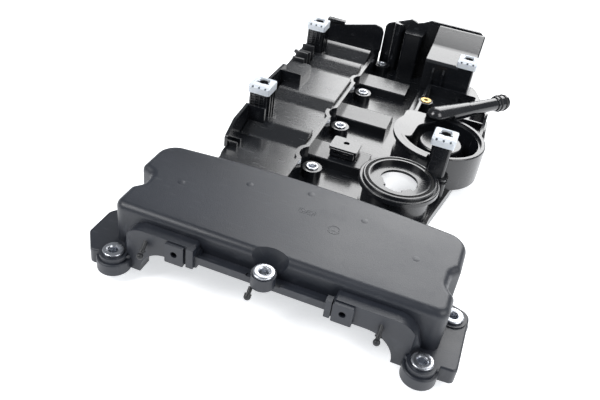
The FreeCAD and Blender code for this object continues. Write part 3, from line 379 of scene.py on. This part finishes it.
class Shape:
    """A mesh being made, in millimetres, and turned into a piece in metres."""

    def __init__(self) -> None:
        """Starts an empty mesh."""
        self.bm = bmesh.new()

    def lathe(self, profile: list[tuple[float, float]], centre: Point, axis: Point = (0, 0, 1),
              steps: int = 64) -> None:
        """Spins a closed profile round an axis.

        Args:
            profile: radius and height pairs, in order round the section.
            centre: a point on the axis, at height 0.
            axis: the axis direction.
            steps: sides of the round.
        """
        turn = Vector((0, 0, 1)).rotation_difference(Vector(axis).normalized()).to_matrix().to_4x4()
        whole = Matrix.Translation(Vector(centre)) @ turn
        verts = [self.bm.verts.new(whole @ Vector((radius, 0, height))) for radius, height in profile]
        edges = [self.bm.edges.new((verts[i - 1], verts[i])) for i in range(len(verts))]
        bmesh.ops.spin(self.bm, geom=verts + edges, cent=Vector(centre), axis=Vector(axis).normalized(),
                       angle=math.tau, steps=steps, use_merge=True)

    def block(self, low: Point, high: Point, bevel: float = 0.3, turn: Matrix = Matrix.Identity(4)) -> None:
        """Adds a box with softened edges.

        Args:
            low: lowest corner.
            high: highest corner.
            bevel: edge softening.
            turn: a transform on the finished box.
        """
        size = Vector(high) - Vector(low)
        middle = (Vector(high) + Vector(low)) / 2
        place = turn @ Matrix.Translation(middle) @ Matrix.Diagonal((*size, 1))
        made = bmesh.ops.create_cube(self.bm, size=1, matrix=place)
        edges = list({edge for vert in made["verts"] for edge in vert.link_edges})
        bmesh.ops.bevel(self.bm, geom=edges, offset=bevel, segments=2, profile=0.5,
                        affect="EDGES", material=-1)

    def ring(self, centre: Point, radius: float, section: float, axis: Point = (0, 0, 1)) -> None:
        """Adds a ring of round section."""
        turns = [t * math.tau / RING_SIDES for t in range(RING_SIDES)]
        profile = [(radius + section * math.cos(turn), section * math.sin(turn)) for turn in turns]
        self.lathe(profile, centre, axis)

    def piece(self, name: str, finish: Finish, body: Body = Body.COVER,
              replaces: tuple[str, ...] = ()) -> bpy.types.Object:
        """Turns the mesh into a piece.

        Args:
            name: the piece's name.
            finish: its finish.
            body: the body it rides on.
            replaces: CAD nodes that it stands for.

        Returns:
            The new object, at the origin.
        """
        bmesh.ops.remove_doubles(self.bm, verts=self.bm.verts[:], dist=WELD_DISTANCE)
        bmesh.ops.recalc_face_normals(self.bm, faces=self.bm.faces[:])
        bmesh.ops.transform(self.bm, matrix=Matrix.Scale(MM, 4), verts=self.bm.verts[:])
        mesh = bpy.data.meshes.new(name)
        self.bm.to_mesh(mesh)
        self.bm.free()
        for polygon in mesh.polygons:
            polygon.use_smooth = True
        mesh.set_sharp_from_angle(angle=math.radians(SHARP_DEGREES))
        thing = bpy.data.objects.new(name, mesh)
        bpy.context.scene.collection.objects.link(thing)
        PALETTE.dress(thing, finish)
        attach(thing, body.value)
        if replaces:
            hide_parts(*replaces)
        log.info("%s: %d faces in %s", name, len(mesh.polygons), finish.name.lower())
        return thing


def place(x: float, y: float, z: float) -> Point:
    """A point given from the lower moulding's seat, in the frame, in millimetres."""
    return (x, y, z - SEAT_DROP)


# ------------------------------------------------------------------ sub-assemblies


@dataclass
class SleeveSet:
    """Flanged bolt sleeves: rolled tube and chamfered flange."""

    name: str
    node: str
    places: list[tuple[float, float, float, float]]
    tube: float
    bore: float
    flange: float
    thick: float

    def build(self) -> None:
        """Spins every sleeve and stands it for the CAD node."""
        shape = Shape()
        for x, y, under, top in self.places:
            tall = top - under
            neck = tall - self.thick
            profile = [
                (self.bore, 0.6), (self.bore + 0.5, 0.0), (self.tube - 0.4, 0.0), (self.tube, 0.5),
                (self.tube, neck), (self.flange - 0.3, neck),
                (self.flange, neck + 0.3), (self.flange, tall - 0.5),
                (self.flange - 0.2, tall - 0.2), (self.flange - 0.6, tall),
                (self.bore + 1.5, tall), (self.bore + 1.2, tall - 0.12),
                (self.bore + 0.9, tall - 0.12), (self.bore + 0.2, tall - 0.9),
                (self.bore, tall - 1.3),
            ]
            shape.lathe(profile, place(x, y, under), steps=72)
        shape.piece(self.name, Finish.STEEL, replaces=(self.node,))


@dataclass
class RingSeals:
    """Rubber rings on the spigot and in the filler neck."""

    start: Vector = field(default_factory=lambda: Vector((184, 299, 40)))
    end: Vector = field(default_factory=lambda: Vector((247, 375, 40)))
    head: float = 8.2
    offsets: tuple[float, float] = (6.0, 13.0)
    neck: Point = (175.7, 184.0, 32.0)
    seal: float = 30.0

    def build(self) -> None:
        """Builds both spigot rings and the neck seal with its lips."""
        along = (self.end - self.start).normalized()
        shape = Shape()
        for offset in self.offsets:
            shape.ring(tuple(self.end - along * (offset - 1.3)), self.head - 0.3, 1.22, tuple(along))
        shape.piece("spigot_o_rings", Finish.RUBBER, replaces=("spigot_rings",))
        seal = Shape()
        r = self.seal
        profile = [(r - 1.35, -3.0), (r + 1.35, -3.0), (r + 1.4, -1.6), (r + 1.0, -1.2), (r + 1.3, -0.8),
                   (r + 0.9, -0.45), (r + 0.45, -0.4), (r, -0.9), (r - 0.45, -0.4), (r - 0.9, -0.45),
                   (r - 1.3, -0.8), (r - 1.0, -1.2), (r - 1.4, -1.6)]
        seal.lathe(profile, self.neck, steps=128)
        seal.piece("neck_lip_seal", Finish.RUBBER, replaces=("neck_seal",))


@dataclass
class BallSockets:
    """Rims and hooks inside the four white sockets, and black liners that paint the shade of their deep
    mouths.
    """

    centres: dict[str, tuple[float, float]] = field(default_factory=lambda: {
        "front_left": (21.0, 228.0), "rear_left": (15.5, 411.0),
        "front_right": (202.5, 227.0), "rear_right": (196.0, 411.0)})
    under: float = 62.0
    high: float = 8.0

    def build(self) -> None:
        """Adds side rails, a mouth rim and two hooks to each socket, and a black liner that paints the
        shade inside its deep white mouth.
        """
        top = self.under + self.high
        for name, (x, y) in self.centres.items():
            shape = Shape()
            for side in (-1, 1):
                shape.block(place(x + side * 9.4 - 0.7, y - 6.0, top - 0.2),
                            place(x + side * 9.4 + 0.7, y + 9.2, top + 0.5), 0.25)
                lean = Matrix.Translation(Vector(place(x + side * 6.2, y + 4.2, 0))) \
                    @ Matrix.Rotation(math.radians(-28 * side), 4, "Z")
                shape.block((-0.8, -2.6, top - 1.6), (0.8, 2.6, top - 0.2), 0.3, lean)
            shape.block(place(x - 7.5, y + 8.7, top - 0.2), place(x + 7.5, y + 9.9, top + 0.5), 0.25)
            shape.piece("socket_rims_" + name, Finish.ACETAL)
            # painted shade: a black spun liner and floor plate fill the white socket mouth, which is dark
            # only from shade in its depth
            shade_cup = Shape()
            profile = [(0.01, 0.0), (5.0, 0.0), (5.0, 4.6), (4.5, 5.0), (4.2, 4.6), (4.2, 0.9), (0.01, 0.5)]
            shade_cup.lathe(profile, place(x, y + 2.5, self.under + 2.05), steps=40)
            shade_cup.block(place(x - 6.4, y - 1.6, self.under + 2.05), place(x + 6.4, y + 0.8, top - 2.0), 0.3)
            shade_cup.piece("painted_shade_cup_" + name, Finish.SATIN)


@dataclass
class TowerFins:
    """Moulded stiffening fins on the faces of the clip towers."""

    under: float = 29.0
    over: float = 61.0

    def build(self) -> None:
        """Adds rows of thin level fins and four upright ones to the tower fronts."""
        shape = Shape()
        for x, y in ((21.0, 228.0), (15.5, 411.0)):
            for i in range(9):
                z = self.under + 8.0 + i * 2.9
                shape.block(place(x - 8.0, y - 11.9, z), place(x + 8.0, y - 10.9, z + 0.9), 0.2)
            for i in range(4):
                side = x - 7.4 + i * 4.6
                shape.block(place(side, y - 12.2, self.under + 6),
                            place(side + 0.9, y - 10.9, self.over), 0.2)
        shape.piece("tower_fins", Finish.COVER)


@dataclass
class HousingDetails:
    """Small moulded details on the front chamber."""

    top: float = 57.0
    clock: tuple[float, float] = (150.0, 62.0)
    pad: tuple[float, float] = (118.0, 70.0)

    def build(self) -> None:
        """Adds a dial with plain ticks, a grid of plain dots, and ejector marks."""
        shape = Shape()
        x, y = self.clock
        shape.lathe([(4.6, -0.2), (5.0, -0.2), (5.0, 0.14), (4.6, 0.14)], place(x, y, self.top), steps=48)
        shape.lathe([(0.01, -0.2), (1.5, -0.2), (1.5, 0.14), (0.01, 0.14)], place(x, y, self.top), steps=24)
        centre = Matrix.Translation(Vector(place(x, y, self.top)))
        for i in range(12):
            turn = centre @ Matrix.Rotation(i * math.tau / 12, 4, "Z")
            shape.block((-0.12, 3.3, -0.2), (0.12, 4.3, 0.12), 0.04, turn)
        shape.piece("moulded_dial", Finish.HOUSING)
        dots = Shape()
        x, y = self.pad
        for row in range(4):
            for column in range(9):
                if (row * 5 + column * 3) % 4:
                    low = place(x + column * 1.6, y + row * 1.6, self.top - 0.2)
                    dots.block(low, (low[0] + 0.9, low[1] + 0.9, low[2] + 0.32), 0.08)
        dots.piece("moulded_dots", Finish.HOUSING)
        marks = Shape()
        for x, y in ((24, 60), (72, 84), (120, 96), (168, 84), (214, 60)):
            marks.lathe([(0.01, -0.15), (2.9, -0.15), (2.9, 0.02), (2.75, 0.07), (0.01, 0.07)],
                        place(x, y, self.top), steps=40)
        marks.piece("ejector_marks", Finish.HOUSING)


class Dresser:
    """Puts finishes on the CAD nodes that stay."""

    def build(self) -> None:
        """Dresses each node by its material slot."""
        for part in frame["record"]["subparts"]:
            node = frame["nodes"][part["node"]]
            PALETTE.dress(node, SLOT_FINISH[part["material_slot"]])
        for name in ("regulator_cap", "outlet_spigot", "harness_bracket"):
            PALETTE.dress(frame["nodes"][name], Finish.COVER)


@dataclass
class Studio:
    """Floor, soft lights and camera."""

    seat: float = -8.0
    lens: float = 39.55
    camera_at: Point = (225.11, -315.22, 355.07)
    right: Point = (0.9302, 0.3475, 0.1179)
    forward: Point = (-0.2144, 0.7754, -0.5940)

    def build(self) -> None:
        """Makes the floor, the lights, the world and the camera."""
        shape = bmesh.new()
        bmesh.ops.create_grid(shape, x_segments=1, y_segments=1, size=6.0,
                              matrix=Matrix.Translation((0.1, 0.2, self.seat * MM - 0.0002)))
        mesh = bpy.data.meshes.new("floor")
        shape.to_mesh(mesh)
        shape.free()
        floor = bpy.data.objects.new("floor", mesh)
        bpy.context.scene.collection.objects.link(floor)
        PALETTE.dress(floor, Finish.FLOOR)
        self.light("key", (-0.75, -0.55, 1.15), 0.7, 15.0)
        self.light("top", (0.25, 1.45, 1.00), 1.2, 26.0)
        self.light("fill", (1.15, -0.15, 0.85), 0.8, 9.0)
        world = bpy.data.worlds.new("studio_air")
        world.use_nodes = True
        air = next(n for n in world.node_tree.nodes if n.type == "BACKGROUND")
        air.inputs["Color"].default_value = (0.93, 0.96, 1.0, 1)
        air.inputs["Strength"].default_value = AIR_LIGHT
        bpy.context.scene.world = world
        bpy.context.scene.view_settings.view_transform = "Standard"
        data = bpy.data.cameras.new("camera")
        data.lens = self.lens
        data.clip_start = 0.01
        data.clip_end = 50
        camera = bpy.data.objects.new("camera", data)
        back = -Vector(self.forward).normalized()
        side = Vector(self.right).normalized()
        turn = Matrix((side, back.cross(side), back)).transposed().to_4x4()
        camera.matrix_world = Matrix.Translation(Vector(self.camera_at) * MM) @ turn
        bpy.context.scene.collection.objects.link(camera)
        bpy.context.scene.camera = camera

    def light(self, name: str, at: Point, size: float, power: float) -> None:
        """Hangs one soft square light that faces the part.

        Args:
            name: the light's name.
            at: its place in metres.
            size: its side in metres.
            power: its power in watts.
        """
        data = bpy.data.lights.new(name, "AREA")
        data.size = size
        data.energy = power
        lamp = bpy.data.objects.new(name, data)
        lamp.location = at
        aim = Vector((0.12, 0.22, 0.02)) - Vector(at)
        lamp.rotation_euler = aim.to_track_quat("-Z", "Y").to_euler()
        bpy.context.scene.collection.objects.link(lamp)


def main() -> None:
    """Builds every sub-assembly in order."""
    logging.basicConfig(level=logging.INFO, format="%(message)s")
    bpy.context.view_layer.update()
    Studio().build()
    Dresser().build()
    fronts = [(0, 0, 8.0, 24.0), (239, 0, 8.0, 24.0), (119, 3, 39.0, 51.0), (-12, 52, 8.0, 24.0),
              (251, 52, 8.0, 24.0)]
    SleeveSet("front_bolt_sleeves", "front_sleeves", fronts, 5.5, 3.3, 8.0, 2.0).build()
    middles = [(92.5, 189.0 + CYLINDER_PITCH * i, 0.0, 20.5) for i in range(4)]
    SleeveSet("centre_bolt_sleeves", "centre_sleeves", middles, 4.4, 3.1, 6.0, 1.5).build()
    RingSeals().build()
    BallSockets().build()
    TowerFins().build()
    HousingDetails().build()


if __name__ == "__main__":
    main()
